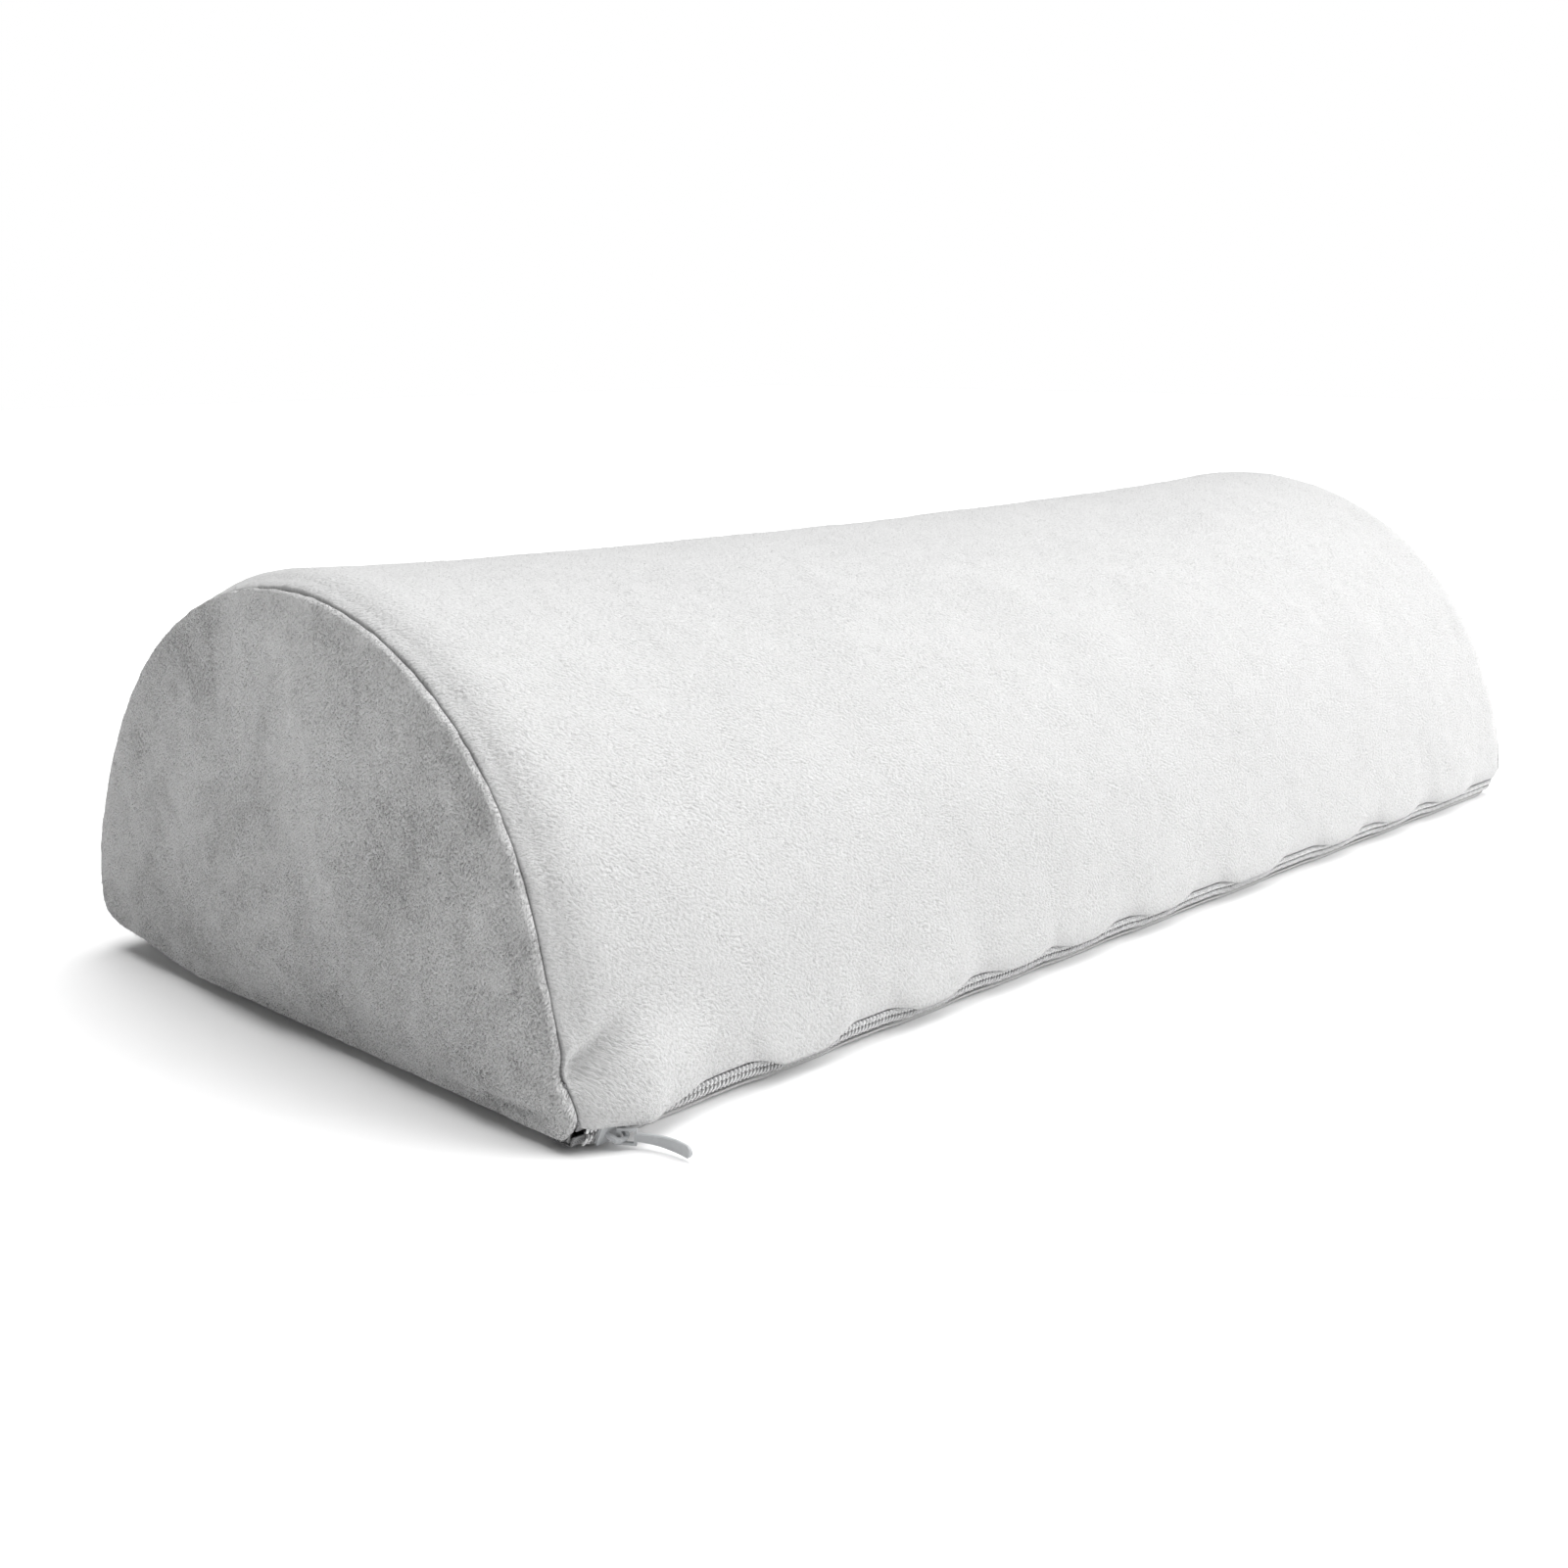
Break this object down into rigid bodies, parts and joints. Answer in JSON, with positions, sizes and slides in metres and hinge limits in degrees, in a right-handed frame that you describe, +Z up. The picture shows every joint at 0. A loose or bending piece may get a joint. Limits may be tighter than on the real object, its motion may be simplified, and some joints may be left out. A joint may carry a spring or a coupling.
{
  "type": "nursing pillow",
  "caption": "Half-moon bolster cushion in a zip-off velour cover, flat underneath, with a coil zip along the lower front edge.",
  "frame": {"origin": "middle of the flat underside", "axes": "+X along the cushion towards its right end, -Y towards the front with the zip, +Z up from the underside"},
  "size_m": [0.43, 0.22, 0.109],
  "materials": {
    "velour": "short pile",
    "foam": "open cell foam",
    "zip_tape": "herringbone weave",
    "zip_coil": "satin nylon",
    "thread": "twisted polyester",
    "enamel": "satin"
  },
  "bodies": {
    "cushion": {"foam_core": "foam", "wrap_panel": "velour", "left_end_panel": "velour", "right_end_panel": "velour", "left_end_seam_thread": "thread", "right_end_seam_thread": "thread", "left_overlock_thread": "thread", "right_overlock_thread": "thread", "upper_zip_tape": "zip_tape", "lower_zip_tape": "zip_tape", "upper_coil": "zip_coil", "lower_coil": "zip_coil", "upper_coil_stitching": "thread", "lower_coil_stitching": "thread", "upper_zip_seam_thread": "thread", "lower_zip_seam_thread": "thread"},
    "slider": {"slider_body": "enamel"},
    "puller": {"pull_tab": "enamel"}
  },
  "joints": [
    {"name": "zip_slide", "type": "slide", "parent": "cushion", "child": "slider", "axis": [1, 0, 0], "range_m": [0, 0.409]},
    {"name": "puller_swing", "type": "hinge", "parent": "slider", "child": "puller", "pos_m": [-0.2045, -0.10185, 0.00293], "axis": [0, -0.0523, 0.9986], "range_deg": [-115, 50]}
  ]
}
